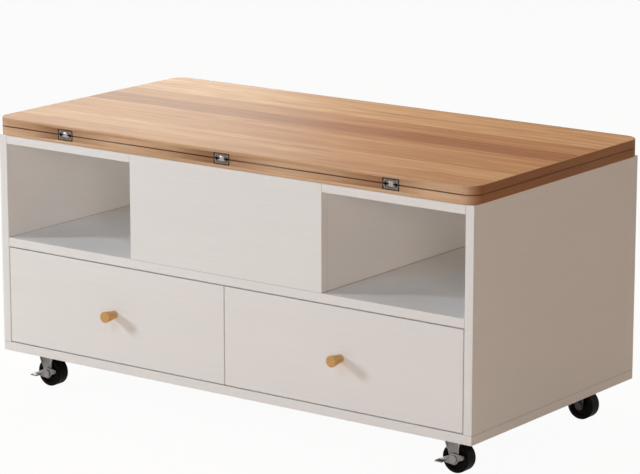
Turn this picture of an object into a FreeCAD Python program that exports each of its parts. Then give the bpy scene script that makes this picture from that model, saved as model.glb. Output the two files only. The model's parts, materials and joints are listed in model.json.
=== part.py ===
"""Convertible coffee dining table: a white cabinet on casters under a two-leaf wooden top.

The top rises on two pairs of parallel arms, and its upper leaf then folds out to the front. Millimetres.
+Z is up, the front faces -Y and +X is to the right seen from the front. The origin is on the floor under the
middle of the table, knobs included.
"""
import FreeCAD, Part
import math
import os

import Sketcher

Vector = FreeCAD.Vector

# Driving dimensions: name, value and what it measures
SIZES = [
    ("cabinet_width", 1000, "outer faces of the side panels"),
    ("cabinet_depth", 500, "front edges to back"),
    ("board", 16, "thickness of the white boards"),
    ("back_board", 8, "thickness of the back panels"),
    ("drawer_opening_height", 175, "base board to middle shelf"),
    ("cubby_height", 169, "middle shelf to cubby ceiling"),
    ("centre_panel_width", 406, "front panel over the closed compartment"),
    ("dowel_radius", 4, "dowels that join the boards"),
    ("dowel_length", 24, "half of it in either board"),
    ("dowel_pitch", 300, "between the two dowels of one joint"),
    ("carcass_screw_radius", 3, "shank of the long screws"),
    ("carcass_screw_head_radius", 5, "countersunk head"),
    ("carcass_screw_head_height", 3, "countersunk head"),
    ("carcass_screw_length", 50, "with the head"),
    ("carcass_screw_pitch", 180, "between neighbours in a row"),
    ("hardware_screw_radius", 2, "shank of the screws that hold fittings"),
    ("hardware_screw_head_radius", 3.6, "countersunk head"),
    ("hardware_screw_head_height", 1.8, "countersunk head"),
    ("hardware_screw_length", 12, "with the head"),
    ("leaf_thickness", 15, "either leaf of the top"),
    ("top_overhang", 4, "leaf edge past the cabinet, all round"),
    ("leaf_corner_radius", 28, "corners of the leaves in plan"),
    ("leaf_edge_round", 1.2, "outer edges of the leaves"),
    ("top_rest_gap", 0.3, "cabinet to the lower leaf"),
    ("seam_gap", 0.5, "between the leaves"),
    ("hinge_spacing", 343, "middle hinge to the outer ones"),
    ("hinge_plate_width", 33, "along the leaf edge"),
    ("hinge_plate_height", 9.5, "from the seam"),
    ("hinge_plate_depth", 7, "into the leaf"),
    ("hinge_roll_radius", 2.75, "rounded seam edge, about the pin"),
    ("hinge_link_width", 9, "along the leaf edge"),
    ("hinge_link_radius", 2.6, "round ends of the link"),
    ("hinge_link_play", 0.3, "link to the walls of its slot"),
    ("hinge_pin_radius", 1.2, "pins of the link"),
    ("hinge_pin_length", 15, "both sides of the link"),
    ("hinge_spot_radius", 1.8, "round notch on the seam"),
    ("hinge_spot_offset", 10, "hinge middle to a notch"),
    ("hinge_screw_radius", 1.4, "shank"),
    ("hinge_screw_head_radius", 2.5, "countersunk head"),
    ("hinge_screw_head_height", 1.3, "countersunk head"),
    ("hinge_screw_length", 16, "with the head"),
    ("hinge_screw_offset", 12.8, "hinge middle to a screw"),
    ("hinge_screw_drop", 6.2, "seam face of the leaf to a screw"),
    ("drawer_gap", 2, "round a drawer front"),
    ("partition_gap", 1, "drawer fronts to the partition"),
    ("drawer_side_board", 12, "drawer sides and back"),
    ("drawer_box_height", 130, "drawer sides"),
    ("drawer_rear_gap", 46, "drawer back to the back panel"),
    ("drawer_box_lift", 15, "base board to the drawer sides"),
    ("drawer_bottom_board", 5, "drawer bottom"),
    ("drawer_bottom_lift", 10, "lower edge of the sides to the bottom"),
    ("drawer_groove_depth", 5, "bottom's edges in the sides"),
    ("knob_length", 27, "out of the drawer front"),
    ("knob_front_radius", 10, "round end of the peg"),
    ("knob_root_radius", 6.5, "where the peg meets the front"),
    ("knob_edge_round", 1.2, "front edge of the peg"),
    ("knob_spigot_radius", 4, "glued in the drawer front"),
    ("knob_spigot_length", 12, "glued in the drawer front"),
    ("slide_space", 13, "wall to drawer side"),
    ("slide_height", 45, "outer member"),
    ("slide_setback", 4, "drawer front to the slide"),
    ("slide_rear_gap", 26, "slide to the end of the drawer sides"),
    ("slide_sheet", 1.5, "sheet steel of the members"),
    ("slide_gap", 0.4, "between nested members"),
    ("slide_outer_reach", 9, "outer flanges from the wall"),
    ("slide_middle_start", 3.5, "middle web from the wall"),
    ("slide_side_gap", 2, "middle flanges to the drawer side"),
    ("slide_web_gap", 1, "middle web to the inner flanges"),
    ("slide_screw_inset", 40, "end of the member to a screw"),
    ("slide_screw_stagger", 30, "between screws on both faces of one board"),
    ("lift_arm_length", 280, "pivot to pivot"),
    ("lift_arm_width", 28, "flat bar of the arms"),
    ("lift_arm_sheet", 4, "flat bar of the arms"),
    ("lift_frame_sheet", 4, "plates on the dividers"),
    ("lift_bracket_sheet", 3, "brackets under the leaf"),
    ("lift_bracket_flange", 40, "flange under the leaf"),
    ("lift_side_gap", 1, "arms to the plates beside them"),
    ("lift_front_gap", 6, "front panel to the leaf brackets"),
    ("lift_flange_gap", 1, "rear arms to the bracket flanges above them"),
    ("lift_pivot_back", 44, "front pivot to rear pivot"),
    ("lift_pivot_rise", 50, "front pivot to rear pivot"),
    ("lift_plate_margin", 24, "pivot to the edge of its plate"),
    ("lift_bracket_margin", 18, "pivot to the edge of its bracket"),
    ("lift_bracket_reach", 60, "rear pin to the bracket's rear edge"),
    ("lift_leaf_gap", 2, "plates to the leaf above"),
    ("lift_screw_inset", 9, "plate edge to a screw"),
    ("lift_travel", 85, "degrees that the arms turn"),
    ("lift_tail", 20, "rear arm behind its pivot"),
    ("lift_stop_radius", 4, "stop pin"),
    ("cross_shaft_radius", 6, "joins the front arms"),
    ("tie_rod_radius", 5, "joins the rear arms"),
    ("top_pin_radius", 4, "pins of the leaf brackets"),
    ("top_pin_head_radius", 7, "head and shoulder of the pins"),
    ("top_pin_head_height", 2, "head of the pins"),
    ("bearing_clearance", 0.05, "radial, round every turning pin"),
    ("axial_play", 0.1, "beside every turning piece"),
    ("spring_wire_radius", 2, "torsion springs"),
    ("spring_shaft_gap", 1, "shaft to the coil"),
    ("spring_turns", 6, "whole turns of a coil"),
    ("spring_pitch", 5, "from turn to turn"),
    ("spring_leg", 50, "shaft to the bent tip in the arm"),
    ("spring_bend", 5, "bend radius of the tip"),
    ("spring_anchor", 28, "shaft to the anchor bar"),
    ("spring_end", 10, "wire past the anchor bar"),
    ("anchor_bar_radius", 4, "bar that holds the springs' rear legs"),
    ("contact_gap", 0.2, "wire to what it bears on"),
    ("caster_inset_side", 63, "king pin from the cabinet's side"),
    ("caster_inset_front", 54, "front king pins from the cabinet's front"),
    ("caster_inset_back", 63, "rear king pins from the cabinet's back"),
    ("caster_trail", 4, "king pin to axle"),
    ("caster_plate_size", 42, "square plate"),
    ("caster_plate_sheet", 2.5, "square plate"),
    ("caster_screw_inset", 5, "plate edge to a screw"),
    ("caster_race_radius", 14, "swivel bearing"),
    ("caster_race_height", 4.5, "swivel bearing"),
    ("king_pin_radius", 4, "swivel pin"),
    ("king_pin_head_radius", 7, "swivel pin"),
    ("king_pin_head_height", 2.5, "swivel pin"),
    ("wheel_crown_gap", 3.8, "wheel to the king pin above it"),
    ("fork_sheet", 2.5, "sheet steel of the fork"),
    ("fork_half_width", 15, "fork's top, from the king pin"),
    ("fork_wheel_gap", 1, "wheel to the fork's legs"),
    ("fork_eye_radius", 8, "round the axle"),
    ("wheel_radius", 25, "tread"),
    ("wheel_width", 24, "tread"),
    ("wheel_tread_round", 2, "edges of the tread"),
    ("wheel_rim", 7, "tread to the recess in the sides"),
    ("wheel_hub_radius", 10, "recess in the sides, inside"),
    ("wheel_recess", 3, "depth of the recess"),
    ("axle_radius", 4, "wheel axle"),
    ("axle_head_radius", 6.5, "rivet heads"),
    ("axle_head_height", 2, "rivet heads"),
    ("brake_sheet", 2, "brake lever"),
    ("brake_hub_radius", 9.5, "round the axle"),
    ("brake_pedal_reach", 29, "axle to the pedal's end"),
    ("brake_pedal_length", 14, "pedal, along the lever"),
    ("brake_pedal_width", 11, "pedal, out from the lever"),
    ("brake_pedal_drop", 4, "axle to the pedal's foot face"),
    ("brake_tab_reach", 20, "axle to the release tab's end"),
    ("brake_tab_rise", 8, "axle to the release tab's end"),
    ("brake_tab_width", 6, "release tab, out from the lever"),
]

doc = FreeCAD.newDocument("convertible_table")
sheet = doc.addObject("Spreadsheet::Sheet", "sizes")
for row, (alias, value, meaning) in enumerate(SIZES, start=1):
    sheet.set(f"A{row}", alias)
    sheet.set(f"B{row}", str(value))
    sheet.setAlias(f"B{row}", alias)
    sheet.set(f"C{row}", meaning)
doc.recompute()


class Size:
    """A length of the sheet, or one worked out from such lengths, as an expression to bind objects to."""

    def __init__(self, text):
        self.text = text

    def __str__(self):
        return self.text

    def __float__(self):
        return float(sheet.evalExpression(self.text))

    def __neg__(self):
        return Size(f"(0 - {self})")

    def __add__(self, other):
        return Size(f"({self} + {other})")

    def __sub__(self, other):
        return Size(f"({self} - {other})")

    def __mul__(self, factor):
        return Size(f"({self} * {factor})")

    def __truediv__(self, divisor):
        return Size(f"({self} / {divisor})")


def size(alias):
    """The length that the sheet holds under this name."""
    return Size(f"sizes.{alias}")


def turned_by(function, angle):
    """Sine or cosine of an angle of the sheet, in degrees."""
    return Size(f"{function}({angle} * 1 deg)")


ZERO = Size("0")
SIDES = {"left": -1, "right": 1}
ENDS = {"front": -1, "rear": 1}

# Levels of a caster, upwards from the floor to the base board that it carries
axial_play = size("axial_play")
bearing_clearance = size("bearing_clearance")
axle_z = size("wheel_radius")
king_pin_under = axle_z * 2 + size("wheel_crown_gap")
king_pin_shoulder = king_pin_under + size("king_pin_head_height")
fork_under = king_pin_shoulder + axial_play
fork_top = fork_under + size("fork_sheet")
race_under = fork_top + axial_play
plate_under = race_under + size("caster_race_height")
base_under = plate_under + size("caster_plate_sheet")

# Levels of the cabinet and the top, upwards from the base board
board = size("board")
base_top = base_under + board
shelf_under = base_top + size("drawer_opening_height")
shelf_top = shelf_under + board
ceiling_under = shelf_top + size("cubby_height")
cabinet_top = ceiling_under + board
leaf_under = cabinet_top + size("top_rest_gap")
seam_low = leaf_under + size("leaf_thickness")
seam_high = seam_low + size("seam_gap")
table_top = seam_high + size("leaf_thickness")

# Places across and along the cabinet
overhang = size("top_overhang")
middle = (size("knob_length") - overhang) / 2
front = middle - size("cabinet_depth") / 2
back = middle + size("cabinet_depth") / 2
panel_back = front + board
back_front = back - size("back_board")
outside = size("cabinet_width") / 2
side_in = outside - board
divider_out = size("centre_panel_width") / 2
divider_in = divider_out - board
leaf_side = outside + overhang
leaf_front = front - overhang
leaf_back = back + overhang

# Pivots of the lift and the planes of its plates, on the right
arm_half = size("lift_arm_width") / 2
flange_under = leaf_under - size("lift_bracket_sheet")
bracket_front = panel_back + size("lift_front_gap")
leaf_pin_front_y = bracket_front + size("lift_bracket_margin")
leaf_pin_rear_y = leaf_pin_front_y + size("lift_pivot_back")
pivot_front_y = leaf_pin_front_y + size("lift_arm_length")
pivot_rear_y = leaf_pin_rear_y + size("lift_arm_length")
pivot_rear_z = flange_under - size("lift_flange_gap") - arm_half
pivot_front_z = pivot_rear_z - size("lift_pivot_rise")
frame_in = divider_in - size("lift_frame_sheet")
arm_out = frame_in - size("lift_side_gap")
arm_in = arm_out - size("lift_arm_sheet")
bracket_out = frame_in + size("lift_bracket_sheet")

# Pivots of the leaf hinges
roll = size("hinge_roll_radius")
hinge_y = leaf_front + roll
hinge_low = seam_low - roll
hinge_high = seam_high + roll
hinge_places = [-size("hinge_spacing"), ZERO, size("hinge_spacing")]

# How far the pieces of a caster reach from the wheel's middle
fork_in = size("wheel_width") / 2 + size("fork_wheel_gap")
fork_out = fork_in + size("fork_sheet")
brake_in = fork_out + axial_play
brake_out = brake_in + size("brake_sheet")

nodes = {}


def node(label, piece):
    """Name a finished sub-part."""
    piece.Label = label
    nodes[label] = piece
    return piece


def bind(piece, **properties):
    """Tie properties of an object to sizes."""
    for name, expression in properties.items():
        piece.setExpression(name, str(expression))


def place(piece, x, y, z, direction="+z"):
    """Put an object's own origin at a point, with its own Z along a direction."""
    sign = -1 if direction[0] == "-" else 1
    aim = {"x": Vector(sign, 0, 0), "y": Vector(0, sign, 0), "z": Vector(0, 0, sign)}[direction[1]]
    piece.Placement = FreeCAD.Placement(Vector(), FreeCAD.Rotation(Vector(0, 0, 1), aim))
    for axis, length in zip("xyz", (x, y, z)):
        piece.setExpression(f"Placement.Base.{axis}", str(length))


def block(x0, x1, y0, y1, z0, z1):
    """A box between three pairs of planes."""
    piece = doc.addObject("Part::Box", "block")
    bind(piece, Length=x1 - x0, Width=y1 - y0, Height=z1 - z0)
    place(piece, x0, y0, z0)
    return piece


def rod(direction, x, y, z, length, radius):
    """A round bar from a point along a direction."""
    piece = doc.addObject("Part::Cylinder", "rod")
    bind(piece, Radius=radius, Height=length)
    place(piece, x, y, z, direction)
    return piece


def screw(kind, direction, x, y, z):
    """A countersunk screw: the middle of its head is at the point, its shank along the direction."""
    head = doc.addObject("Part::Cone", "head")
    shank_radius = size(f"{kind}_screw_radius")
    bind(head, Radius1=size(f"{kind}_screw_head_radius"), Radius2=shank_radius)
    bind(head, Height=size(f"{kind}_screw_head_height"))
    place(head, x, y, z, direction)
    return fuse([head, rod(direction, x, y, z, size(f"{kind}_screw_length"), shank_radius)])


def fuse(pieces):
    """One solid of several that meet."""
    whole = doc.addObject("Part::MultiFuse", "fuse")
    whole.Shapes = pieces
    whole.Refine = True
    return whole


def group(pieces):
    """Separate solids kept together."""
    bundle = doc.addObject("Part::Compound", "group")
    bundle.Links = pieces
    return bundle


def cut(piece, *tools):
    """A piece less each of the tools."""
    for tool in tools:
        remains = doc.addObject("Part::Cut", "cut")
        remains.Base = piece
        remains.Tool = tool
        piece = remains
    return piece


def mirrored(piece):
    """The same piece on the other side of the table."""
    twin = doc.addObject("Part::Mirroring", "mirrored")
    twin.Source = piece
    twin.Normal = Vector(1, 0, 0)
    return twin


def body(name):
    """An empty body."""
    return doc.addObject("PartDesign::Body", name)


def sketch(owner, plane, across=ZERO, up=ZERO, out=ZERO):
    """A sketch on one of a body's own planes, moved in that plane and out along its normal."""
    drawing = owner.newObject("Sketcher::SketchObject", f"{owner.Name}_sketch")
    support = [feature for feature in owner.Origin.OriginFeatures if feature.Role == f"{plane}_Plane"]
    drawing.AttachmentSupport = (support[0], [""])
    drawing.MapMode = "FlatFace"
    for axis, length in zip("xyz", (across, up, out)):
        drawing.setExpression(f"AttachmentOffset.Base.{axis}", str(length))
    return drawing


def outline(drawing, corners):
    """A closed outline whose corners are tied to sizes."""
    points = [Vector(float(across), float(up), 0) for across, up in corners]
    first = drawing.GeometryCount
    for start, stop in zip(points, points[1:] + points[:1]):
        drawing.addGeometry(Part.LineSegment(start, stop))
    count = len(corners)
    for index, corner in enumerate(corners):
        line = first + index
        following = first + (index + 1) % count
        drawing.addConstraint(Sketcher.Constraint("Coincident", line, 2, following, 1))
        for kind, length in zip(("DistanceX", "DistanceY"), corner):
            number = drawing.addConstraint(Sketcher.Constraint(kind, -1, 1, line, 1, float(length)))
            drawing.renameConstraint(number, f"{kind}{line}")
            drawing.setExpression(f"Constraints.{kind}{line}", str(length))


def disc(drawing, radius):
    """A circle round the sketch's own origin, tied to a size."""
    circle = drawing.addGeometry(Part.Circle(Vector(), Vector(0, 0, 1), float(radius)))
    drawing.addConstraint(Sketcher.Constraint("Coincident", circle, 3, -1, 1))
    number = drawing.addConstraint(Sketcher.Constraint("Radius", circle, float(radius)))
    drawing.renameConstraint(number, "radius")
    drawing.setExpression("Constraints.radius", str(radius))


def pad(owner, drawing, length):
    """Material from a sketch along its normal."""
    feature = owner.newObject("PartDesign::Pad", f"{owner.Name}_pad")
    feature.Profile = drawing
    feature.setExpression("Length", str(length))
    return feature


def plate_across(owner, corners, y0, y1, x=ZERO, z=ZERO):
    """A plate that faces the front, from y0 to y1, with its corners measured from x and z."""
    drawing = sketch(owner, "XZ", x, z, -y1)
    outline(drawing, corners)
    return pad(owner, drawing, y1 - y0)


def eye_across(owner, radius, y0, y1, x, z):
    """A round boss that faces the front, from y0 to y1."""
    drawing = sketch(owner, "XZ", x, z, -y1)
    disc(drawing, radius)
    return pad(owner, drawing, y1 - y0)


def turned_piece(name, x, y, z, profile):
    """A piece turned about a line along Y: its profile is distances along Y and radii."""
    owner = body(name)
    drawing = sketch(owner, "YZ", y, z, x)
    outline(drawing, profile)
    feature = owner.newObject("PartDesign::Revolution", f"{name}_turning")
    feature.Profile = drawing
    feature.ReferenceAxis = (drawing, ["H_Axis"])
    feature.Angle = 360
    return owner


def rounded(owner, feature, radius, chosen):
    """Round the edges of a body's feature for which chosen is true."""
    doc.recompute()
    names = [f"Edge{index}" for index, edge in enumerate(feature.Shape.Edges, start=1) if chosen(edge)]
    fillet = owner.newObject("PartDesign::Fillet", f"{owner.Name}_round")
    fillet.Base = (feature, names)
    fillet.setExpression("Radius", str(radius))
    return fillet


def is_upright(edge):
    box = edge.BoundBox
    return box.ZLength > max(box.XLength, box.YLength)


def lies_at(level):
    """Whether an edge lies in a level plane."""
    def test(edge):
        return max(abs(edge.BoundBox.ZMin - float(level)), abs(edge.BoundBox.ZMax - float(level))) < 1e-6
    return test


def circles_at(radius, place_y):
    """Whether an edge is a circle of this radius at this place along Y."""
    def test(edge):
        return (edge.Curve.TypeId == "Part::GeomCircle" and abs(edge.Curve.Radius - float(radius)) < 1e-6
                and abs(edge.Curve.Center.y - float(place_y)) < 1e-6)
    return test


def band(wall, side, start, stop):
    """Two planes at distances from a wall, towards the right or the left, in rising order."""
    if side > 0:
        return wall + start, wall + stop
    return wall - stop, wall - start


# Fasteners of the cabinet, which the boards are drilled for
def carcass_screws():
    """Long screws up through the base board, and up through the shelf into the dividers."""
    rows = [(outside - board / 2, base_under), (-outside + board / 2, base_under), (ZERO, base_under),
            (divider_out - board / 2, shelf_under), (-divider_out + board / 2, shelf_under)]
    pitch = size("carcass_screw_pitch")
    return group([screw("carcass", "+z", x, middle + pitch * step, z)
                  for x, z in rows for step in (-1, 0, 1)])


def carcass_dowels():
    """Dowels in pairs: shelf and ceilings to the side panels, ceilings and front panel to the dividers."""
    radius = size("dowel_radius")
    length = size("dowel_length")
    pairs = []
    for side in SIDES.values():
        joints = [(side_in, shelf_top - board / 2), (side_in, cabinet_top - board / 2),
                  (divider_out, cabinet_top - board / 2)]
        for x, z in joints:
            for end in ENDS.values():
                y = middle + size("dowel_pitch") / 2 * end
                pairs.append(rod("+x", x * side - length / 2, y, z, length, radius))
        for level in (shelf_top + size("cubby_height") / 4, shelf_top + size("cubby_height") * 3 / 4):
            x = (divider_out - board / 2) * side
            pairs.append(rod("+y", x, panel_back - length / 2, level, length, radius))
    return group(pairs)


def caster_places():
    """Name, place across and place along of each king pin."""
    reach_x = outside - size("caster_inset_side")
    rows = {"front": front + size("caster_inset_front"), "rear": back - size("caster_inset_back")}
    return [(f"{end}_{side}", reach_x * SIDES[side], y) for end, y in rows.items() for side in SIDES]


def caster_screws():
    """Four screws through each caster plate."""
    reach = size("caster_plate_size") / 2 - size("caster_screw_inset")
    return group([screw("hardware", "+z", x + reach * across, y + reach * along, plate_under)
                  for name, x, y in caster_places() for across in (-1, 1) for along in (-1, 1)])


drawer_back = back_front - size("drawer_rear_gap")
slide_front = panel_back + size("slide_setback")
slide_back = drawer_back - size("slide_rear_gap")
slide_z = base_top + size("drawer_box_lift") + size("drawer_box_height") / 2
SLIDE_WALLS = {"left": [(-side_in, 1), (-board / 2, -1)], "right": [(board / 2, 1), (side_in, -1)]}


def slide_screws():
    """Two screws in each outer member, staggered on the two faces of the partition."""
    screws = []
    for wall, side in SLIDE_WALLS["left"] + SLIDE_WALLS["right"]:
        inset = size("slide_screw_inset") + size("slide_screw_stagger") * (1 if side > 0 else 0)
        x = band(wall, side, size("slide_sheet"), size("slide_sheet"))[0]
        for y in (slide_front + inset, slide_back - inset):
            screws.append(screw("hardware", "-x" if side > 0 else "+x", x, y, slide_z))
    return screws


frame_front = pivot_front_y - size("lift_plate_margin")
frame_back = pivot_rear_y + size("lift_plate_margin")
frame_under = pivot_front_z - size("lift_plate_margin")
frame_over = leaf_under - size("lift_leaf_gap")


def frame_screws():
    """Three screws in each plate of the lift's base frame."""
    inset = size("lift_screw_inset")
    places = [(frame_front + inset, frame_under + inset), (frame_back - inset, frame_under + inset),
              (frame_front + inset, frame_over - inset)]
    return [screw("hardware", "+x" if side > 0 else "-x", frame_in * side, y, z)
            for side in SIDES.values() for y, z in places]


def cabinet_boards():
    """The white boards, drilled for screws and dowels."""
    long_screws = node("carcass_screws", carcass_screws())
    dowels = node("carcass_dowels", carcass_dowels())
    fixings = node("hardware_screws", group(slide_screws() + frame_screws()))
    under = node("caster_screws", caster_screws())
    node("base_board", cut(block(-outside, outside, front, back, base_under, base_top), long_screws, under))
    node("middle_shelf", cut(block(-side_in, side_in, front, back_front, shelf_under, shelf_top),
                             long_screws, dowels))
    front_panel = block(-divider_out, divider_out, front, panel_back, shelf_top, cabinet_top)
    node("centre_front_panel", cut(front_panel, dowels))
    node("back_panel", block(-side_in, side_in, back_front, back, base_top, shelf_top))
    node("centre_back_panel", block(-divider_out, divider_out, back_front, back, shelf_top, cabinet_top))
    partition = block(-board / 2, board / 2, panel_back + size("partition_gap"), back_front,
                      base_top, shelf_under)
    node("drawer_partition", cut(partition, long_screws, fixings))
    for name, side in SIDES.items():
        panel = block(*band(side_in * side, side, ZERO, board), front, back, base_top, cabinet_top)
        node(f"side_panel_{name}", cut(panel, long_screws, dowels, fixings))
        divider = block(*band(divider_in * side, side, ZERO, board), panel_back, back_front,
                        shelf_top, cabinet_top)
        node(f"divider_{name}", cut(divider, long_screws, dowels, fixings))
        ceiling = block(*band(divider_out * side, side, ZERO, side_in - divider_out), front, back,
                        ceiling_under, cabinet_top)
        node(f"cubby_ceiling_{name}", cut(ceiling, dowels))


def channel(wall, side, web, flange_start, flange_stop, half_height):
    """A slide member: an upright web at a distance from the wall, and a flange above and below."""
    sheet_steel = size("slide_sheet")
    pieces = [block(*band(wall, side, web, web + sheet_steel), slide_front, slide_back,
                    slide_z - half_height, slide_z + half_height)]
    for low in (slide_z - half_height, slide_z + half_height - sheet_steel):
        pieces.append(block(*band(wall, side, flange_start, flange_stop), slide_front, slide_back,
                            low, low + sheet_steel))
    return fuse(pieces)


def drawer_slides():
    """Three nested members on each wall beside a drawer."""
    step = size("slide_sheet") + size("slide_gap")
    half = size("slide_height") / 2
    start = size("slide_middle_start")
    stop = size("slide_space") - size("slide_side_gap")
    inner_start = start + size("slide_sheet") + size("slide_web_gap")
    inner_stop = size("slide_space")
    inner_web = inner_stop - size("slide_sheet")
    outer = []
    for name, walls in SLIDE_WALLS.items():
        outer += [channel(wall, side, ZERO, ZERO, size("slide_outer_reach"), half) for wall, side in walls]
        node(f"drawer_{name}_middle_slides",
             group([channel(wall, side, start, start, stop, half - step) for wall, side in walls]))
        node(f"drawer_{name}_inner_slides",
             group([channel(wall, side, inner_web, inner_start, inner_stop, half - step * 2)
                    for wall, side in walls]))
    node("slide_outer_members", cut(group(outer), nodes["hardware_screws"]))


def knob(name, x, z):
    """A turned peg that widens to its front, with a spigot for the drawer front."""
    length = size("knob_length")
    front_radius = size("knob_front_radius")
    spigot = size("knob_spigot_radius")
    reach = size("knob_spigot_length")
    owner = turned_piece(name, x, front, z, [
        (-length, ZERO), (-length, front_radius), (ZERO, size("knob_root_radius")),
        (ZERO, spigot), (reach, spigot), (reach, ZERO)])
    rounded(owner, owner.Tip, size("knob_edge_round"), circles_at(front_radius, front - length))
    return owner


def drawers():
    """Inset fronts with boxes behind them, made on the right and mirrored to the left."""
    gap = size("drawer_gap")
    side_board = size("drawer_side_board")
    box_under = base_top + size("drawer_box_lift")
    box_top = box_under + size("drawer_box_height")
    box_in = board / 2 + size("slide_space")
    box_out = side_in - size("slide_space")
    bottom_under = box_under + size("drawer_bottom_lift")
    bottom_top = bottom_under + size("drawer_bottom_board")
    bottom_edge = side_board - size("drawer_groove_depth")
    front_in = gap / 2
    front_out = side_in - gap
    peg = knob("peg", (front_in + front_out) / 2, (base_top + shelf_under) / 2)
    bottom = block(box_in + bottom_edge, box_out - bottom_edge, panel_back, drawer_back,
                   bottom_under, bottom_top)
    sides = [block(box_in, box_in + side_board, panel_back, drawer_back, box_under, box_top),
             block(box_out - side_board, box_out, panel_back, drawer_back, box_under, box_top)]
    pieces = {
        "front": cut(block(front_in, front_out, front, panel_back, base_top + gap, shelf_under - gap), peg),
        "knob": peg,
        "sides": group([cut(panel, bottom) for panel in sides]),
        "back": block(box_in + side_board, box_out - side_board, drawer_back - side_board, drawer_back,
                      bottom_top, box_top),
        "bottom": bottom,
    }
    for name, piece in pieces.items():
        node(f"drawer_right_{name}", piece)
        node(f"drawer_left_{name}", mirrored(piece))


def arm(pivot_y, pivot_z, tail):
    """One flat arm on the right, from its leaf pin back past its pivot, with a hole for the leaf pin."""
    far = pivot_y - size("lift_arm_length")
    sheet_steel = size("lift_arm_sheet")
    bar = [block(arm_in, arm_out, far, pivot_y + tail, pivot_z - arm_half, pivot_z + arm_half)]
    bar += [rod("+x", arm_in, y, pivot_z, sheet_steel, arm_half) for y in (far, pivot_y + tail)]
    hole = rod("+x", arm_in, far, pivot_z, sheet_steel, size("top_pin_radius") + bearing_clearance)
    return cut(fuse(bar), hole)


spring_radius = size("cross_shaft_radius") + size("spring_shaft_gap") + size("spring_wire_radius")
anchor_y = pivot_front_y + size("spring_anchor")
anchor_z = (pivot_front_z + spring_radius + size("spring_wire_radius") + size("contact_gap")
            + size("anchor_bar_radius"))


def lift_base_frame():
    """Two plates on the dividers, welded to the springs' anchor bar, with bearings and stop pins."""
    travel = size("lift_travel")
    along = size("lift_tail")
    aside = arm_half + size("contact_gap") + size("lift_stop_radius")
    stop_y = pivot_rear_y + turned_by("cos", travel) * along - turned_by("sin", travel) * aside
    stop_z = pivot_rear_z - turned_by("sin", travel) * along - turned_by("cos", travel) * aside
    pieces = [rod("+x", -frame_in, anchor_y, anchor_z, frame_in * 2, size("anchor_bar_radius"))]
    bearings = []
    for side in SIDES.values():
        plate = band(frame_in * side, side, ZERO, size("lift_frame_sheet"))
        pieces.append(block(*plate, frame_front, frame_back, frame_under, frame_over))
        pin = band(arm_in * side, side, ZERO, divider_in - arm_in)
        pieces.append(rod("+x", pin[0], stop_y, stop_z, divider_in - arm_in, size("lift_stop_radius")))
        for y, z, radius in ((pivot_front_y, pivot_front_z, size("cross_shaft_radius")),
                             (pivot_rear_y, pivot_rear_z, size("tie_rod_radius"))):
            bearings.append(rod("+x", plate[0], y, z, size("lift_frame_sheet"), radius + bearing_clearance))
    node("lift_base_frame", cut(fuse(pieces), group(bearings), nodes["hardware_screws"]))


def lift_arms():
    """The front arms welded to their cross shaft, and the rear arms welded to their tie rod."""
    shaft_end = divider_in - axial_play
    front_arm = arm(pivot_front_y, pivot_front_z, ZERO)
    tip_hole = rod("+x", arm_in, pivot_front_y - size("spring_leg"), pivot_front_z + spring_radius,
                   size("lift_arm_sheet"), size("spring_wire_radius") + size("contact_gap"))
    front_arm = cut(front_arm, tip_hole)
    rear_arm = arm(pivot_rear_y, pivot_rear_z, size("lift_tail"))
    for name, piece, y, z, radius in (
            ("front", front_arm, pivot_front_y, pivot_front_z, size("cross_shaft_radius")),
            ("rear", rear_arm, pivot_rear_y, pivot_rear_z, size("tie_rod_radius"))):
        shaft = rod("+x", -shaft_end, y, z, shaft_end * 2, radius)
        node(f"lift_{name}_arms", fuse([piece, mirrored(piece), shaft]))


def top_pin(y, z):
    """A pin through a leaf bracket and an arm, with a shoulder between them and a head inside."""
    head_radius = size("top_pin_head_radius")
    head = size("top_pin_head_height")
    start = arm_in - axial_play - head
    return fuse([rod("+x", start, y, z, bracket_out - start, size("top_pin_radius")),
                 rod("+x", start, y, z, head, head_radius),
                 rod("+x", arm_out + axial_play, y, z, frame_in - arm_out - axial_play, head_radius)])


def leaf_brackets():
    """Angle brackets under the lower leaf, with a pin for each arm."""
    margin = size("lift_bracket_margin")
    near = bracket_front
    far = leaf_pin_rear_y + size("lift_bracket_reach")
    owner = body("leaf_bracket")
    upright = sketch(owner, "YZ", out=frame_in)
    outline(upright, [(near, leaf_under), (far, leaf_under), (far, pivot_rear_z - margin),
                      (leaf_pin_front_y + margin, pivot_front_z - margin), (near, pivot_front_z - margin)])
    pad(owner, upright, size("lift_bracket_sheet"))
    flange_in = bracket_out - size("lift_bracket_flange")
    flange = sketch(owner, "XY", out=flange_under)
    outline(flange, [(flange_in, near), (bracket_out, near), (bracket_out, far), (flange_in, far)])
    pad(owner, flange, size("lift_bracket_sheet"))
    pins = [top_pin(leaf_pin_front_y, pivot_front_z), top_pin(leaf_pin_rear_y, pivot_rear_z)]
    node("top_pivot_pins", group(pins + [mirrored(pin) for pin in pins]))
    screw_x = flange_in + size("lift_screw_inset")
    screws = [screw("hardware", "+z", screw_x, y, flange_under)
              for y in (near + size("lift_screw_inset"), (near + far) / 2, far - size("lift_screw_inset"))]
    whole = cut(owner, group(pins), group(screws))
    node("top_brackets", group([whole, mirrored(whole)]))
    return screws + [mirrored(piece) for piece in screws]


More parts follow.
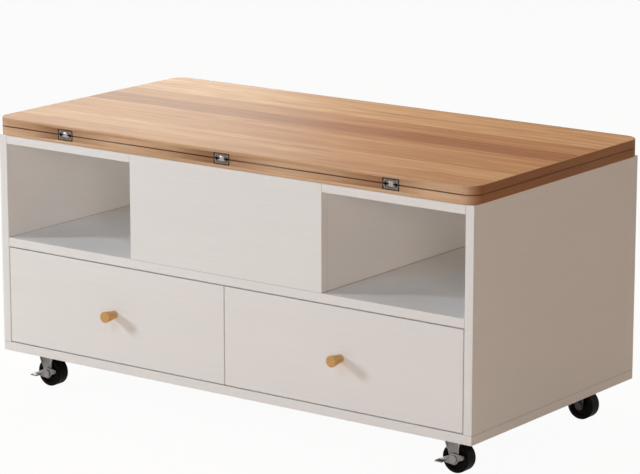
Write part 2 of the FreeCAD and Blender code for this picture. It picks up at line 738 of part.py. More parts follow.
def torsion_spring():
    """The right-hand spring: a tip in the arm, whole turns round the cross shaft, a leg under the bar."""
    wire = float(size("spring_wire_radius"))
    radius = float(spring_radius)
    pitch = float(size("spring_pitch"))
    turns = int(float(size("spring_turns")))
    bend = float(size("spring_bend"))
    axis_y = float(pivot_front_y)
    axis_z = float(pivot_front_z)
    slope = pitch / (2 * math.pi * radius)
    across = Vector(-1, 0, 0)
    leg = float(size("spring_leg"))
    corner = Vector(float(arm_in - size("contact_gap")) - bend, axis_y - leg, axis_z + radius)
    coil_x = corner.x - slope * leg

    def coil_point(angle):
        """Place on the coil after a turn of this angle, which starts at the top and goes to the rear."""
        return Vector(coil_x - pitch * angle / (2 * math.pi),
                      axis_y + radius * math.sin(angle), axis_z + radius * math.cos(angle))

    def coil_heading(angle):
        return Vector(-slope, math.cos(angle), -math.sin(angle)).normalize()

    def arc_between(start, corner, stop):
        """The arc that touches both lines from a corner, at points equally far from it."""
        chord_middle = (start + stop) / 2
        half_turn = (corner - start).getAngle(stop - start)
        rise = math.tan(half_turn / 2) / math.tan(half_turn)
        return Part.Arc(start, chord_middle + (corner - chord_middle) * rise, stop).toShape()

    def biarc(start, heading, stop, last_heading):
        """Two arcs that leave one point and reach another along given headings."""
        span = stop - start
        both = heading + last_heading
        spread = 2 * (1 - heading.dot(last_heading))
        reach = (math.sqrt(span.dot(both) ** 2 + spread * span.dot(span)) - span.dot(both)) / spread
        corner = start + heading * reach
        last_corner = stop - last_heading * reach
        joint = (corner + last_corner) / 2
        return [arc_between(start, corner, joint), arc_between(joint, last_corner, stop)]

    first = coil_point(0)
    last = coil_point(2 * math.pi * turns)
    heading = coil_heading(0)
    leg_start = corner + heading * bend
    bend_start = corner - across * bend
    edges = [Part.LineSegment(Vector(float(arm_out), corner.y, corner.z), bend_start).toShape(),
             arc_between(bend_start, corner, leg_start),
             Part.LineSegment(leg_start, first).toShape()]
    quarter = math.pi / 2
    for step in range(4 * turns):
        edges += biarc(coil_point(step * quarter), coil_heading(step * quarter),
                       coil_point((step + 1) * quarter), coil_heading((step + 1) * quarter))
    end = last + heading * float(size("spring_anchor") + size("spring_end"))
    edges.append(Part.LineSegment(last, end).toShape())
    path = Part.Wire(edges)
    section = Part.Wire(Part.Circle(edges[0].Vertexes[0].Point, across, wire).toShape())
    tube = path.makePipeShell([section], True, False)
    per_turn = 72
    points = [coil_point(2 * math.pi * step / per_turn) for step in range(per_turn * turns + 1)]
    least = min((points[index] - points[index + other]).Length
                for index in range(len(points) - per_turn // 2)
                for other in range(per_turn // 2, min(2 * per_turn, len(points) - index)))
    print(f"torsion spring: least gap between turns {least - 2 * wire:.2f} mm")
    expected = math.pi * wire ** 2 * path.Length
    print(f"torsion spring: volume {tube.Volume:.1f}, section times length {expected:.1f}")
    return tube


def torsion_springs():
    """One spring beside either front arm."""
    right = doc.addObject("Part::Feature", "torsion_spring")
    right.Shape = torsion_spring()
    node("torsion_springs", group([right, mirrored(right)]))


def seam_cutter(leaf_face, upwards):
    """The corner that is taken off a leaf's seam edge, so that the edges roll past each other."""
    far = leaf_face + roll * (1 if upwards else -1)
    strip = block(-leaf_side, leaf_side, leaf_front, hinge_y, leaf_face if upwards else far,
                  far if upwards else leaf_face)
    return cut(strip, rod("+x", -leaf_side, hinge_y, far, leaf_side * 2, roll))


def leaf_blank(name, under, outer_face):
    """A leaf with round corners and its outer edges rounded over."""
    owner = body(name)
    plan = sketch(owner, "XY", out=under)
    outline(plan, [(-leaf_side, leaf_front), (leaf_side, leaf_front), (leaf_side, leaf_back),
                   (-leaf_side, leaf_back)])
    feature = pad(owner, plan, size("leaf_thickness"))
    feature = rounded(owner, feature, size("leaf_corner_radius"), is_upright)
    rounded(owner, feature, size("leaf_edge_round"), lies_at(outer_face))
    return owner


def hinge_half(leaf_face, upwards, pin_z):
    """Plates, their mortises and screws for one leaf: three hinges on its front edge at the seam."""
    sign = 1 if upwards else -1
    half = size("hinge_plate_width") / 2
    deep = leaf_front + size("hinge_plate_depth")
    far = leaf_face + size("hinge_plate_height") * sign
    low, high = (leaf_face, far) if upwards else (far, leaf_face)
    link_half = size("hinge_link_width") / 2 + size("hinge_link_play")
    slot_deep = size("hinge_link_radius") + size("hinge_link_play")
    slot_far = pin_z + slot_deep * sign
    slot_low, slot_high = (leaf_face, slot_far) if upwards else (slot_far, leaf_face)
    pin_half = size("hinge_pin_length") / 2 + axial_play
    seam_middle = (seam_low + seam_high) / 2
    mortises, hollows, screws = [], [], []
    for x in hinge_places:
        mortises.append(block(x - half, x + half, leaf_front, deep, low, high))
        hollows.append(block(x - link_half, x + link_half, leaf_front, hinge_y + slot_deep,
                             slot_low, slot_high))
        hollows.append(rod("+x", x - pin_half, hinge_y, pin_z, pin_half * 2,
                           size("hinge_pin_radius") + bearing_clearance))
        for side in SIDES.values():
            hollows.append(rod("+y", x + size("hinge_spot_offset") * side, leaf_front, seam_middle,
                               size("hinge_plate_depth"), size("hinge_spot_radius")))
            screws.append(screw("hinge", "+y", x + size("hinge_screw_offset") * side, leaf_front,
                                leaf_face + size("hinge_screw_drop") * sign))
    plates = cut(group(mortises), seam_cutter(leaf_face, upwards), *hollows, group(screws))
    return plates, group(mortises), screws


def hinge_links():
    """A link with two pins at each hinge."""
    half = size("hinge_link_width") / 2
    radius = size("hinge_link_radius")
    pin_length = size("hinge_pin_length")
    links, pins = [], []
    for x in hinge_places:
        ends = [rod("+x", x - half, hinge_y, z, half * 2, radius) for z in (hinge_low, hinge_high)]
        links.append(fuse(ends + [block(x - half, x + half, hinge_y - radius, hinge_y + radius,
                                        hinge_low, hinge_high)]))
        pins += [rod("+x", x - pin_length / 2, hinge_y, z, pin_length, size("hinge_pin_radius"))
                 for z in (hinge_low, hinge_high)]
    node("hinge_pins", group(pins))
    node("hinge_links", cut(group(links), nodes["hinge_pins"]))


def top_leaves():
    """Both leaves with their hinge plates and screws, and the lift's brackets under the lower one."""
    bracket_screws = leaf_brackets()
    hinge_links()
    for name, under, leaf_face, outer_face, pin_z in (
            ("lower", leaf_under, seam_low, leaf_under, hinge_low),
            ("upper", seam_high, seam_high, table_top, hinge_high)):
        upwards = name == "upper"
        plates, mortises, screws = hinge_half(leaf_face, upwards, pin_z)
        fixings = node(f"{name}_leaf_screws", group(screws if upwards else screws + bracket_screws))
        node(f"hinge_plates_{name}", plates)
        blank = leaf_blank(f"{name}_leaf_blank", under, outer_face)
        node(f"{name}_leaf", cut(blank, seam_cutter(leaf_face, upwards), mortises, fixings))


def caster_plate(x, y):
    """A square plate with its swivel bearing and king pin."""
    half = size("caster_plate_size") / 2
    return fuse([block(x - half, x + half, y - half, y + half, plate_under, base_under),
                 rod("+z", x, y, race_under, size("caster_race_height"), size("caster_race_radius")),
                 rod("+z", x, y, king_pin_under, plate_under - king_pin_under, size("king_pin_radius")),
                 rod("+z", x, y, king_pin_under, size("king_pin_head_height"), size("king_pin_head_radius"))])


def fork(name, x, y, axle_x):
    """A bent steel fork: a top plate on the king pin and two legs that narrow down to the axle."""
    half = size("fork_half_width")
    eye = size("fork_eye_radius")
    trail = size("caster_trail")
    owner = body(f"fork_{name}")
    top = sketch(owner, "XY", x, y, fork_under)
    outline(top, [(-half, -fork_out), (half, -fork_out), (half, fork_out), (-half, fork_out)])
    pad(owner, top, size("fork_sheet"))
    leg = [(-half, fork_top), (half, fork_top), (trail + eye, axle_z), (trail - eye, axle_z)]
    for y0, y1 in ((y - fork_out, y - fork_in), (y + fork_in, y + fork_out)):
        plate_across(owner, leg, y0, y1, x)
        eye_across(owner, eye, y0, y1, axle_x, axle_z)
    hole = rod("+z", x, y, fork_under, size("fork_sheet"), size("king_pin_radius") + bearing_clearance)
    return cut(owner, hole)


def axle(x, y, braked):
    """A riveted axle, longer at the front where it also carries a brake lever."""
    head = size("axle_head_height")
    head_radius = size("axle_head_radius")
    near = (brake_out + axial_play) if braked else fork_out
    start = y - near - head
    return fuse([rod("+y", x, start, axle_z, near + fork_out + head * 2, size("axle_radius")),
                 rod("+y", x, start, axle_z, head, head_radius),
                 rod("+y", x, y + fork_out, axle_z, head, head_radius)])


def wheel(name, x, y):
    """A plastic wheel with a round-edged tread and a recess in either side."""
    bore = size("axle_radius") + bearing_clearance
    half = size("wheel_width") / 2
    floor = half - size("wheel_recess")
    hub = size("wheel_hub_radius")
    tread = size("wheel_radius")
    rim = tread - size("wheel_rim")
    owner = turned_piece(f"wheel_{name}", x, y, axle_z, [
        (-half, bore), (-half, hub), (-floor, hub), (-floor, rim), (-half, rim), (-half, tread),
        (half, tread), (half, rim), (floor, rim), (floor, hub), (half, hub), (half, bore)])
    near = circles_at(tread, y - half)
    far = circles_at(tread, y + half)
    rounded(owner, owner.Tip, size("wheel_tread_round"), lambda edge: near(edge) or far(edge))
    return owner


def brake_lever(name, x, y):
    """A pressed lever that turns on the axle: a foot pedal to the left and a release tab to the right."""
    hub = size("brake_hub_radius")
    steel = size("brake_sheet")
    reach = size("brake_pedal_reach")
    pedal_in = reach - size("brake_pedal_length")
    foot = -size("brake_pedal_drop")
    tab = size("brake_tab_reach")
    rise = size("brake_tab_rise")
    inner = y - brake_in
    outer = y - brake_out
    owner = body(f"brake_{name}")
    eye_across(owner, hub, outer, inner, x, axle_z)
    lever = [(-reach, foot - steel), (-reach, foot), (ZERO, hub), (tab, rise), (tab, rise - steel * 2),
             (ZERO, -hub)]
    pedal = [(-reach, foot - steel), (-pedal_in, foot - steel), (-pedal_in, foot), (-reach, foot)]
    release = [(tab - steel, rise - steel * 3), (tab, rise - steel * 3), (tab, rise), (tab - steel, rise)]
    plate_across(owner, lever, outer, inner, x, axle_z)
    plate_across(owner, pedal, outer - size("brake_pedal_width"), inner, x, axle_z)
    plate_across(owner, release, outer - size("brake_tab_width"), inner, x, axle_z)
    bore = rod("+y", x, outer, axle_z, size("brake_sheet"), size("axle_radius") + bearing_clearance)
    return cut(owner, bore)


def casters():
    """Four swivel casters, the front two with brakes."""
    plates = []
    for name, x, y in caster_places():
        axle_x = x + size("caster_trail")
        braked = name.startswith("front")
        plates.append(caster_plate(x, y))
        pin = node(f"caster_axle_{name}", axle(axle_x, y, braked))
        node(f"caster_fork_{name}", cut(fork(name, x, y, axle_x), pin))
        node(f"caster_wheel_{name}", wheel(name, axle_x, y))
        if braked:
            node(f"brake_lever_{name}", brake_lever(name, axle_x, y))
    node("caster_plates", cut(group(plates), nodes["caster_screws"]))


def export():
    """Check every object, then write each sub-part to its own file."""
    doc.recompute()
    failed = [piece.Label for piece in doc.Objects if {"Invalid", "Error"} & set(piece.State)]
    if failed:
        raise RuntimeError(f"objects that failed: {failed}")
    for label, piece in nodes.items():
        if piece.Shape.isNull() or not piece.Shape.isValid() or not piece.Shape.Solids:
            raise RuntimeError(f"no valid solid: {label}")
    os.makedirs("parts", exist_ok=True)
    for label, piece in nodes.items():
        piece.Shape.exportStep(f"parts/{label}.step")
    print(f"{len(nodes)} sub-parts")


cabinet_boards()
drawer_slides()
drawers()
lift_base_frame()
lift_arms()
torsion_springs()
top_leaves()
casters()
export()
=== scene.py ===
"""Convertible coffee dining table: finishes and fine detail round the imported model.

Metres, in the model's own frame: +Z is up, the front faces -Y and the floor is at z = 0.
"""
import json
import math

import bmesh
import bpy
from mathutils import Matrix, Vector


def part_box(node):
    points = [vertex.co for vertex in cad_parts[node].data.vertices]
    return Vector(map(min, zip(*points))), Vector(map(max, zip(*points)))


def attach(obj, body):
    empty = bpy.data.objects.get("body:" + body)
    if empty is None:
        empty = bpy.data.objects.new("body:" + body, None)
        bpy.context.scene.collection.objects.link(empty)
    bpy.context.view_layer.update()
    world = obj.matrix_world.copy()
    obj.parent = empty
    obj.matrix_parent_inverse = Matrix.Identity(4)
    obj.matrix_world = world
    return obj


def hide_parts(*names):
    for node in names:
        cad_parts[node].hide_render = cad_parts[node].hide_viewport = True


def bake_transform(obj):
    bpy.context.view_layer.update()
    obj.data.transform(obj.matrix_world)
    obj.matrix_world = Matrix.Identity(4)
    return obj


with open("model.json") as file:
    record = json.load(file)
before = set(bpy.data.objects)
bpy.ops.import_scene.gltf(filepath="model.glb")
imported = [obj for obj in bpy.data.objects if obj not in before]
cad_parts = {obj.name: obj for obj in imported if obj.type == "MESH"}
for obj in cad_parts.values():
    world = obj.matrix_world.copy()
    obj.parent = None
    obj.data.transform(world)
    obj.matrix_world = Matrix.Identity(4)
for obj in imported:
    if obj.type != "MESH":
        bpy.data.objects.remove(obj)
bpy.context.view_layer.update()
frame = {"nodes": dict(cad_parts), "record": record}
nodes = frame["nodes"]
body_of = {name: body for body, members in frame["record"]["behaviour"]["bodies"].items() for name in members}

MM = 0.001
SIDES = ("left", "right")

# Camera: the photograph's view, in a frame of 640 by 474 pixels
CAMERA_PLACE = (3.0234, -4.0565, 1.4586)
CAMERA_PITCH = 77.057
CAMERA_TURN = 36.481
CAMERA_LENS = 168.39
CAMERA_SENSOR = 36.0
CAMERA_REACH = 50.0

# Lamps: name, place, aim, width and height, watts and colour
LAMPS = (
    ("key", (-3.7, -2.55, 1.95), (0, 0, 0.35), (0.9, 0.9), 96, (0.90, 0.95, 1.0)),
    ("fill", (3.0, -4.0, 1.25), (0, 0, 0.3), (2.4, 1.6), 64, (1.0, 0.84, 0.73)),
    ("front", (0.1, -3.2, 0.95), (0, 0, 0.3), (1.4, 1.0), 4, (0.60, 0.81, 1.0)),
    ("high", (-0.1, -2.7, 2.3), (0, 0, 0.3), (1.4, 1.0), 16, (0.66, 0.85, 1.0)),
    ("window", (-1.6, 1.4, 1.0), (-0.3, 0, 0.48), (0.9, 0.7), 22, (0.86, 1.0, 0.97)),
    ("overhead", (-0.3, 0.2, 2.7), (0, 0, 0.48), (1.6, 1.6), 31, (1.0, 0.80, 0.59)),
    ("rear", (1.8, 3.9, 0.9), (0, 0, 0.3), (2.4, 1.4), 21, (1.0, 0.72, 0.50)),
)

# Surroundings
AMBIENT_COLOUR = (1.0, 0.93, 0.87, 1.0)
AMBIENT_STRENGTH = 0.02
FLOOR_HALF = 12.0
FLOOR_COLOUR = (0.80, 0.67, 0.55, 1.0)
FLOOR_ROUGHNESS = 0.9
FLOOR_WHITE_SHARE = 0.955

# Sizes that repeat those of the solids
LEAF_CORNER = 28 * MM
LEAF_EDGE_ROUND = 1.2 * MM
SEAM_ROUND = 2.75 * MM
HINGE_X = (-343 * MM, 0.0, 343 * MM)
HINGE_PLATE = (33 * MM, 7 * MM, 9.5 * MM)
SPRING_AXIS_Y = 83.5 * MM
SPRING_AXIS_Z = 390.3 * MM
SPRING_RADIUS = 9 * MM
SPRING_WIRE_RADIUS = 2 * MM
SPRING_PITCH = 5 * MM
SPRING_TURNS = 6
SPRING_TIP_X = 182 * MM
SPRING_BEND_X = 177.8 * MM
SPRING_BEND = 5 * MM
SPRING_TIP_LEG = 50 * MM
SPRING_ANCHOR_LEG = 38 * MM

# Fine detail of the scene alone
BOARD_EDGE = 0.8 * MM
STEEL_EDGE = 0.4 * MM
# How far the painted crease shade on the white boards reaches
CREASE_SHADE_REACH = 1.6 * MM
STRIP_WIDTH = 63.5 * MM
MORTISE_EDGE = 0.2 * MM
MORTISE_REACH = 2 * MM
HINGE_GAP = 1.5 * MM
HINGE_EYE_X = 10.5 * MM
HINGE_EYE_RADIUS = 2.5 * MM
FORK_EYE = 8 * MM
FORK_FOLD = 1.6 * MM
FORK_BITE = 0.4 * MM
FORK_FLANGE_SHARE = 0.5

# Fineness of the meshes
EASE_SEGMENTS = 2
CORNER_STEPS = 16
ROUND_STEPS = 6
EYE_SEGMENTS = 24
COIL_STEPS = 28
WIRE_RESOLUTION = 4
SAME_PLACE = 1e-6
FLAT_ANGLE = math.radians(1)
SHARP_ANGLE = math.radians(40)

# Grain: the map's name, the axis it runs along, and how far the map moves from side to side of a board
GRAIN_MAP = "grain"
ALONG_X = 0
ALONG_Y = 1
GRAIN_STEP_ALONG = 0.37
GRAIN_STEP_ACROSS = 0.61


def linear(red, green, blue):
    """A display colour of 0 to 255 as the linear colour that shaders take."""
    def channel(value):
        value /= 255
        return value / 12.92 if value <= 0.04045 else ((value + 0.055) / 1.055) ** 2.4
    return (channel(red), channel(green), channel(blue), 1.0)


def darker(tone, share):
    """A share of a colour's brightness."""
    return tuple(value * share for value in tone[:3]) + (1.0,)


class Shader:
    """A material and the nodes that make it."""

    def __init__(self, name, **sockets):
        self.material = bpy.data.materials.new(name)
        self.material.use_nodes = True
        self.tree = self.material.node_tree
        self.surface = self.tree.nodes["Principled BSDF"]
        for socket, value in sockets.items():
            self.surface.inputs[socket.replace("_", " ")].default_value = value

    def node(self, kind, inputs=None, **settings):
        """A new node, with its settings and with values or outputs for its inputs."""
        made = self.tree.nodes.new(f"ShaderNode{kind}")
        for name, value in settings.items():
            setattr(made, name, value)
        for key, value in (inputs or {}).items():
            self.feed(made.inputs[key], value)
        return made

    def feed(self, socket, value):
        """Set a socket, or link an output to it."""
        if isinstance(value, bpy.types.NodeSocket):
            self.tree.links.new(value, socket)
        else:
            socket.default_value = value

    def math(self, operation, *values):
        """The result of an operation on values or outputs."""
        made = self.node("Math", operation=operation)
        for socket, value in zip(made.inputs, values):
            self.feed(socket, value)
        return made.outputs[0]

    def vector(self, x=0.0, y=0.0, z=0.0):
        """Three values as one place."""
        return self.node("CombineXYZ", {"X": x, "Y": y, "Z": z}).outputs[0]

    def parts(self, place):
        """The X, Y and Z of a place."""
        return self.node("SeparateXYZ", {"Vector": place}).outputs

    def along_grain(self):
        """Distances along and across the grain, in metres."""
        place = self.parts(self.node("UVMap", uv_map=GRAIN_MAP).outputs[0])
        return place["X"], place["Y"]

    def in_space(self):
        """The place on the object, in metres."""
        return self.node("TexCoord").outputs["Object"]

    def noise(self, place, scale=1.0, detail=4.0, roughness=0.5):
        """Soft noise from 0 to 1, with that many cells in a metre."""
        return self.node("TexNoise", {"Vector": place, "Scale": scale, "Detail": detail,
                                      "Roughness": roughness}).outputs["Fac"]

    def grain_noise(self, grain, along, across, offset=0.0, **settings):
        """Noise drawn out along the grain, with that many cells in a metre along and across it."""
        run = self.math("MULTIPLY", grain[0], along)
        rise = self.math("MULTIPLY", grain[1], across)
        return self.noise(self.vector(run, rise, offset), **settings)

    def chance(self, place):
        """A value from 0 to 1 that is fixed for each place."""
        return self.node("TexWhiteNoise", {"Vector": place}).outputs["Value"]

    def ramp(self, value, stops):
        """Colours at places from 0 to 1."""
        made = self.node("ValToRGB", {"Fac": value})
        elements = made.color_ramp.elements
        while len(elements) < len(stops):
            elements.new(0.5)
        for element, (at, colour) in zip(elements, stops):
            element.position = at
            element.color = colour
        return made.outputs["Color"]

    def spread(self, value, low, high, start=0.0, stop=1.0):
        """A value moved from the range of start and stop to that of low and high, and held inside it."""
        return self.node("MapRange", {"Value": value, "From Min": start, "From Max": stop,
                                      "To Min": low, "To Max": high}).outputs["Result"]

    def mix(self, factor, first, second, blend="MIX"):
        """Two colours mixed by a factor."""
        made = self.node("Mix", data_type="RGBA", blend_type=blend)
        for name, value in (("Factor_Float", factor), ("A_Color", first), ("B_Color", second)):
            self.feed(next(socket for socket in made.inputs if socket.identifier == name), value)
        return next(socket for socket in made.outputs if socket.identifier == "Result_Color")

    def tinted(self, colour, tint):
        """A colour times another."""
        return self.mix(1.0, colour, tint, "MULTIPLY")

    def finish(self, colour, roughness, height, depth):
        """Link the surface's colour, roughness and a relief of that depth in metres."""
        bump = self.node("Bump", {"Height": height, "Distance": depth, "Strength": 1.0})
        self.feed(self.surface.inputs["Base Color"], colour)
        self.feed(self.surface.inputs["Roughness"], roughness)
        self.feed(self.surface.inputs["Normal"], bump.outputs[0])
        return self.material


def white_board(name, tone):
    """White foil with a faint pressed grain, and painted shade in the creases where boards meet."""
    shader = Shader(name, Specular_IOR_Level=0.25)
    grain = shader.along_grain()
    fibre = shader.grain_noise(grain, 5.0, 420.0, detail=5.0, roughness=0.6)
    cloud = shader.grain_noise(grain, 2.0, 9.0, detail=2.0)
    figure = shader.math("MULTIPLY_ADD", cloud, 0.35, shader.math("MULTIPLY", fibre, 0.65))
    colour = shader.ramp(figure, [(0.3, darker(tone, 0.95)), (0.62, tone)])
    # Painted shade: ambient occlusion darkens the foil in creases and narrow gaps where boards meet.
    openness = shader.node("AmbientOcclusion", {"Distance": CREASE_SHADE_REACH}, samples=8).outputs["AO"]
    glue_line_and_crease_shade = shader.spread(openness, 0.8, 0.0, start=0.35, stop=0.8)
    crease_shade_colour = (0.12, 0.105, 0.095, 1.0)
    colour = shader.mix(glue_line_and_crease_shade, colour, crease_shade_colour)
    return shader.finish(colour, shader.spread(fibre, 0.36, 0.52), fibre, 0.06 * MM)


def leaf_wood(name, tones, shift):
    """Lacquered strips glued side by side, each with a tone and a figure of its own."""
    shader = Shader(name, Specular_IOR_Level=0.04)
    grain = shader.along_grain()
    place = shader.math("ADD", shader.math("DIVIDE", grain[1], STRIP_WIDTH), shift)
    strip = shader.math("FLOOR", place)
    luck = shader.chance(shader.vector(strip, 3.7, 1.3))
    offset = shader.math("MULTIPLY", luck, 9.0)
    streak = shader.grain_noise(grain, 1.7, 75.0, offset, detail=4.0, roughness=0.6)
    lean = shader.math("MULTIPLY_ADD", shader.math("SUBTRACT", streak, 0.5), 0.85, luck)
    tone = shader.ramp(lean, tones)
    wander = shader.grain_noise(grain, 1.6, 13.0, offset, detail=3.0)
    rings = shader.math("SINE", shader.math("MULTIPLY", wander, 62.0))
    fibre = shader.grain_noise(grain, 8.0, 560.0, offset, detail=6.0, roughness=0.65)
    figure = shader.math("MULTIPLY_ADD", rings, 0.2, shader.spread(fibre, 0.0, 1.0, start=0.32, stop=0.68))
    late_wood = (0.66, 0.55, 0.46, 1.0)
    colour = shader.mix(shader.spread(figure, 0.7, 0.0), tone, shader.tinted(tone, late_wood))
    edge = shader.math("ABSOLUTE", shader.math("SUBTRACT", shader.math("FRACT", place), 0.5))
    glue_line_and_crease_shade = shader.spread(edge, 0.0, 0.35, start=0.494, stop=0.5)
    glue = (0.12, 0.06, 0.03, 1.0)
    colour = shader.mix(glue_line_and_crease_shade, colour, glue)
    return shader.finish(colour, shader.spread(fibre, 0.62, 0.5), fibre, 0.05 * MM)


def band_wood(name, light, dark, seam):
    """The band round a leaf: fine grain along the edge, darker at the ends, with a painted shadow line where
    the leaves meet.
    """
    shader = Shader(name, Specular_IOR_Level=0.12)
    grain = shader.along_grain()
    fibre = shader.grain_noise(grain, 7.0, 520.0, detail=6.0, roughness=0.6)
    cloud = shader.grain_noise(grain, 3.0, 40.0, detail=2.0)
    figure = shader.math("MULTIPLY_ADD", cloud, 0.5, shader.math("MULTIPLY", fibre, 0.5))
    colour = shader.ramp(figure, [(0.34, dark), (0.62, light)])
    sideways = shader.parts(shader.node("TexCoord").outputs["Normal"])["X"]
    ending = shader.spread(shader.math("ABSOLUTE", sideways), 0.0, 1.0, start=0.4, stop=0.95)
    end_grain = (0.54, 0.37, 0.25, 1.0)
    colour = shader.mix(ending, colour, shader.tinted(colour, end_grain))
    # Painted shadow: a dark line along the band where the two leaves meet.
    distance = shader.math("ABSOLUTE", shader.math("SUBTRACT", grain[1], seam))
    seam_shade_line = shader.spread(distance, 0.7, 0.0, start=0.5 * MM, stop=1.6 * MM)
    colour = shader.mix(seam_shade_line, colour, linear(82, 52, 34))
    return shader.finish(colour, shader.spread(fibre, 0.62, 0.5), fibre, 0.06 * MM)


def shaded_gap(name):
    """The bare wood inside a mortise, painted dark as the shade in the deep gap."""
    shader = Shader(name, Specular_IOR_Level=0.1)
    speck = shader.noise(shader.in_space(), 700.0)
    # Painted shade: near-black wood colours stand in for the shade deep in the mortise gap.
    colour = shader.ramp(speck, [(0.35, linear(38, 26, 18)), (0.7, linear(60, 42, 30))])
    return shader.finish(colour, shader.spread(speck, 0.7, 0.9), speck, 0.1 * MM)


def turned_wood(name, light, dark):
    """Pale turned wood, its fine grain drawn out from front to back."""
    shader = Shader(name, Specular_IOR_Level=0.3)
    place = shader.parts(shader.in_space())
    cells = {"X": 420.0, "Y": 30.0, "Z": 420.0}
    fibre = shader.noise(shader.vector(*(shader.math("MULTIPLY", place[key], cells[key]) for key in cells)))
    colour = shader.ramp(fibre, [(0.3, dark), (0.65, light)])
    return shader.finish(colour, shader.spread(fibre, 0.6, 0.48), fibre, 0.08 * MM)


def steel(name, tone, smoothest, roughest):
    """Plated steel with fine uneven gloss."""
    shader = Shader(name, Metallic=1.0)
    place = shader.in_space()
    speck = shader.noise(place, 900.0, detail=3.0)
    cloud = shader.noise(place, 60.0, detail=2.0)
    colour = shader.ramp(cloud, [(0.35, darker(tone, 0.78)), (0.65, tone)])
    return shader.finish(colour, shader.spread(speck, smoothest, roughest), speck, 0.02 * MM)


def black_plastic(name):
    """Moulded black plastic, scuffed a little."""
    shader = Shader(name, Specular_IOR_Level=0.04)
    place = shader.in_space()
    speck = shader.noise(place, 1400.0, detail=3.0)
    scuff = shader.noise(place, 120.0, roughness=0.65)
    colour = shader.ramp(scuff, [(0.4, (0.003, 0.0022, 0.002, 1.0)), (0.8, (0.009, 0.0072, 0.0068, 1.0))])
    return shader.finish(colour, shader.spread(scuff, 0.42, 0.62), speck, 0.04 * MM)


def seam_height():
    """The level where the two leaves meet."""
    return (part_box("lower_leaf")[1].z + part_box("upper_leaf")[0].z) / 2


def materials():
    """Every finish by name."""
    tones = [(0.0, linear(167, 114, 75)), (0.2, linear(181, 127, 85)), (0.4, linear(194, 144, 100)),
             (0.6, linear(202, 154, 110)), (0.8, linear(192, 140, 96)), (1.0, linear(217, 175, 132))]
    return {
        "board": white_board("white_board", (0.85, 0.838, 0.832, 1.0)),
        "drawer": white_board("drawer_board", (0.77, 0.756, 0.752, 1.0)),
        "leaf_upper": leaf_wood("leaf_wood_upper", tones, shift=7.9),
        "leaf_lower": leaf_wood("leaf_wood_lower", tones, shift=31.0),
        "band": band_wood("leaf_band", linear(219, 182, 148), linear(187, 148, 115), seam_height()),
        "mortise": shaded_gap("mortise_painted_shade"),
        "knob": turned_wood("knob_wood", linear(212, 169, 108), linear(192, 147, 90)),
        "dowel": turned_wood("dowel_wood", linear(214, 184, 140), linear(190, 156, 112)),
        "steel": steel("zinc_steel", (0.56, 0.55, 0.53, 1.0), 0.28, 0.46),
        "fork": steel("pressed_steel", (0.235, 0.22, 0.205, 1.0), 0.34, 0.52),
        # Painted shade: a darker copy of the fork steel for the rear forks, flanges and axles, which sit in
        # shade.
        "shade_darkened_fork": steel("shaded_steel", (0.05, 0.044, 0.041, 1.0), 0.34, 0.52),
        "flange": steel("folded_steel", (0.42, 0.41, 0.40, 1.0), 0.3, 0.45),
        "hinge": steel("hinge_steel", (0.205, 0.155, 0.122, 1.0), 0.3, 0.45),
        "link": steel("link_steel", (0.43, 0.395, 0.38, 1.0), 0.22, 0.36),
        "screw": steel("screw_steel", (0.30, 0.29, 0.275, 1.0), 0.25, 0.4),
        "spring": steel("spring_steel", (0.30, 0.29, 0.28, 1.0), 0.25, 0.4),
        "plastic": black_plastic("black_plastic"),
    }


finishes = materials()


def new_object(name, data):
    """An object in the scene."""
    made = bpy.data.objects.new(name, data)
    bpy.context.scene.collection.objects.link(made)
    return made


def new_mesh(name, shape, *finishes_of_faces):
    """A mesh from a bmesh, with its finishes in the order of the faces' material numbers."""
    mesh = bpy.data.meshes.new(name)
    shape.to_mesh(mesh)
    shape.free()
    for key in finishes_of_faces:
        mesh.materials.append(finishes[key])
    return mesh


def new_piece(name, shape, body, slot, *finishes_of_faces):
    """An object from a bmesh, which rides on a body."""
    piece = new_object(name, new_mesh(name, shape, *finishes_of_faces))
    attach(piece, body)
    return piece


def finished_mesh(source):
    """An object's mesh with its modifiers or its curve worked out."""
    graph = bpy.context.evaluated_depsgraph_get()
    graph.update()
    return bpy.data.meshes.new_from_object(source.evaluated_get(graph))


def settle(piece):
    """Apply a piece's modifiers to its mesh."""
    mesh = finished_mesh(piece)
    piece.modifiers.clear()
    piece.data = mesh


def carve(piece, shape, *finishes_of_faces):
    """Cut a bmesh out of a piece."""
    cutter = new_object("cutter", new_mesh("cutter", shape, *finishes_of_faces))
    modifier = piece.modifiers.new("cut", "BOOLEAN")
    modifier.operation = "DIFFERENCE"
    modifier.solver = "EXACT"
    modifier.object = cutter
    settle(piece)
    bpy.data.objects.remove(cutter)


def copied_shape(node):
    """A node's own shape, joined up, to be refined."""
    shape = bmesh.new()
    shape.from_mesh(nodes[node].data)
    bmesh.ops.remove_doubles(shape, verts=shape.verts, dist=SAME_PLACE)
    return shape


def lay_grain(shape, axis):
    """Map each face with the grain along an axis, or along the face's longer side where it ends the board."""
    layer = shape.loops.layers.uv.new(GRAIN_MAP)
    spans = [max(vert.co[side] for vert in shape.verts) - min(vert.co[side] for vert in shape.verts)
             for side in range(3)]
    for face in shape.faces:
        facing = max(range(3), key=lambda side: abs(face.normal[side]))
        others = [side for side in range(3) if side != facing]
        run = axis if axis in others else max(others, key=lambda side: spans[side])
        rise = next(side for side in others if side != run)
        for loop in face.loops:
            loop[layer].uv = (loop.vert.co[run] + GRAIN_STEP_ALONG * facing,
                              loop.vert.co[rise] + GRAIN_STEP_ACROSS * facing)


